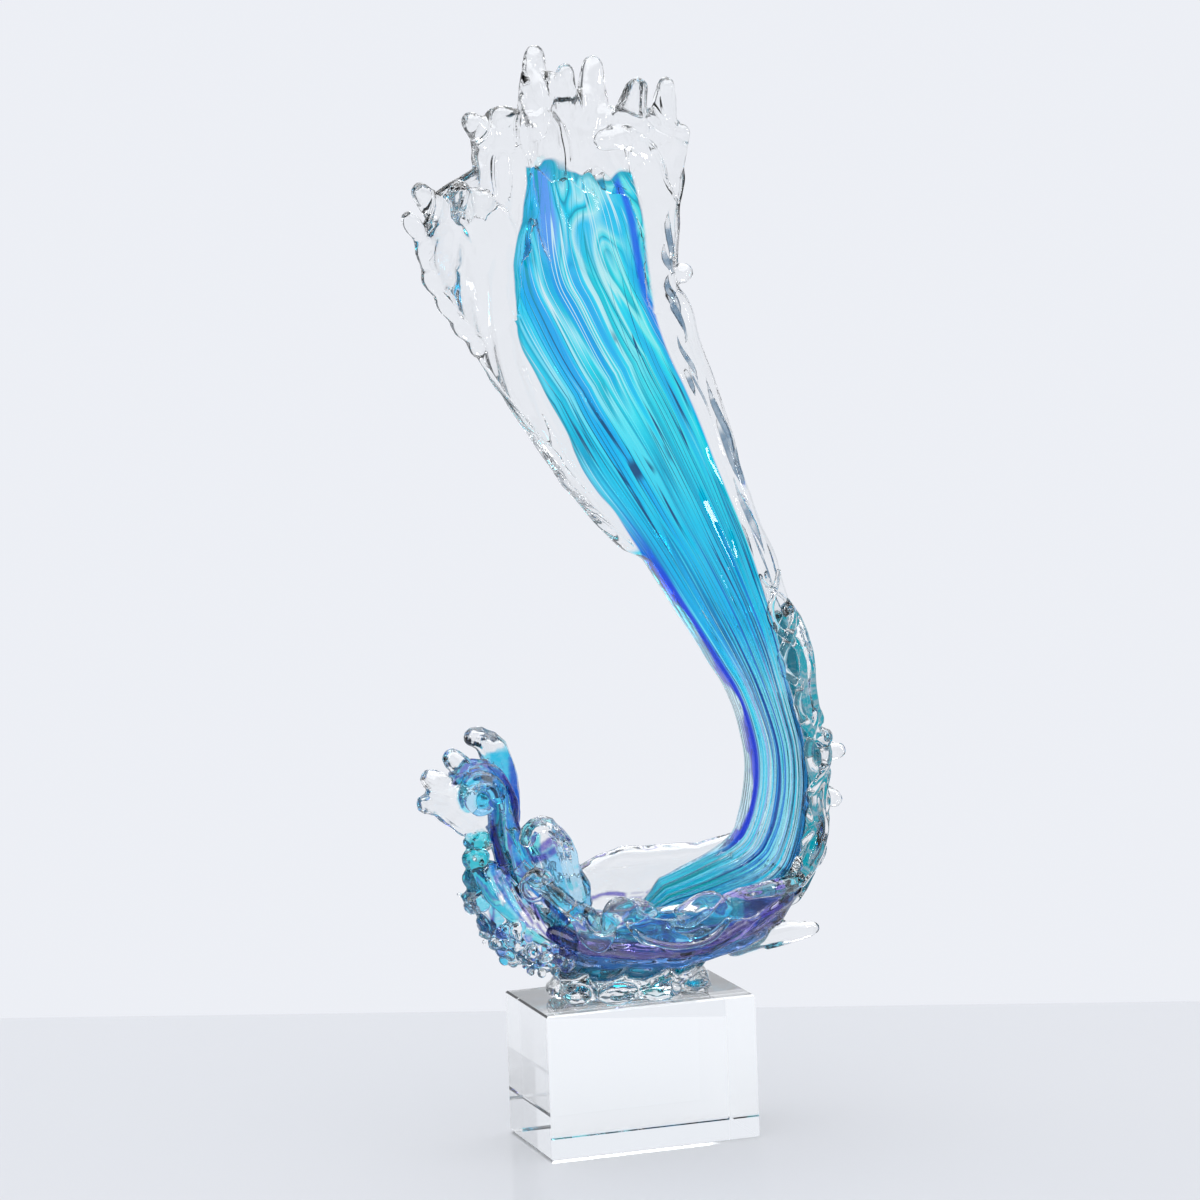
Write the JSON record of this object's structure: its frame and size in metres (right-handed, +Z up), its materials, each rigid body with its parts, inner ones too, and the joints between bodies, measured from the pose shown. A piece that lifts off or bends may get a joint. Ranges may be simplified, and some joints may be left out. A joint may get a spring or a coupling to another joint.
{
  "type": "wave sculpture",
  "caption": "Breaking wave of hot-worked blue and clear glass, rising from a trough through a ribbed column to a fingered crest, bonded to a clear crystal block.",
  "frame": {"origin": "middle of the crystal block's underside", "axes": "+Z up, +X along the block's long side towards the column, -Y towards the viewer"},
  "size_m": [0.251, 0.0877, 0.5993],
  "materials": {
    "clear_glass": "fire-polished",
    "aqua_glass": "fire-polished",
    "cobalt_glass": "fire-polished",
    "violet_glass": "fire-polished",
    "crystal": "polished",
    "adhesive": "clear film"
  },
  "bodies": {
    "root": {"crystal_block": "crystal", "bond_film": "adhesive", "cane_1": "violet_glass", "cane_2": "aqua_glass", "cane_3": "aqua_glass", "cane_4": "aqua_glass", "cane_5": "aqua_glass", "cane_6": "aqua_glass", "cane_7": "aqua_glass", "cane_8": "aqua_glass", "cane_9": "cobalt_glass", "trough_bowl": "violet_glass", "trough_back_lip": "clear_glass", "front_ruffle_left": "clear_glass", "front_ruffle_right": "clear_glass", "keel_strand_upper": "violet_glass", "keel_strand_lower": "cobalt_glass", "tail_spike": "clear_glass", "foot_gather": "clear_glass", "spine_rope": "cobalt_glass", "right_fin": "clear_glass", "left_fin": "clear_glass", "spine_wrap_upper": "clear_glass", "spine_wrap_lower": "clear_glass", "spine_bead_upper": "clear_glass", "spine_bead_lower": "clear_glass", "spine_thorn": "clear_glass", "crest_petal_1": "clear_glass", "crest_petal_2": "clear_glass", "crest_petal_3": "clear_glass", "crest_petal_4": "clear_glass", "crest_petal_5": "clear_glass", "crest_finger_1": "clear_glass", "crest_finger_2": "clear_glass", "crest_finger_3": "clear_glass", "crest_finger_4": "clear_glass", "crest_finger_5": "clear_glass", "crest_finger_6": "clear_glass", "crest_finger_7": "clear_glass", "crest_finger_8": "clear_glass", "crest_drop_left": "clear_glass", "crest_drop_right": "clear_glass", "crest_roll": "clear_glass", "crest_hem": "clear_glass", "crest_edge_bead": "clear_glass", "splash_root": "violet_glass", "splash_stem": "violet_glass", "splash_horn": "aqua_glass", "splash_hump": "aqua_glass", "splash_petal": "clear_glass", "splash_curl": "cobalt_glass", "splash_hump_rim": "clear_glass", "splash_lobe_top": "clear_glass", "splash_lobe_left": "clear_glass", "splash_lobe_low": "clear_glass", "splash_side_knobs": "cobalt_glass", "splash_teardrop": "clear_glass", "foam_trail_edge": "aqua_glass", "foam_trail_front": "clear_glass"}
  },
  "joints": []
}
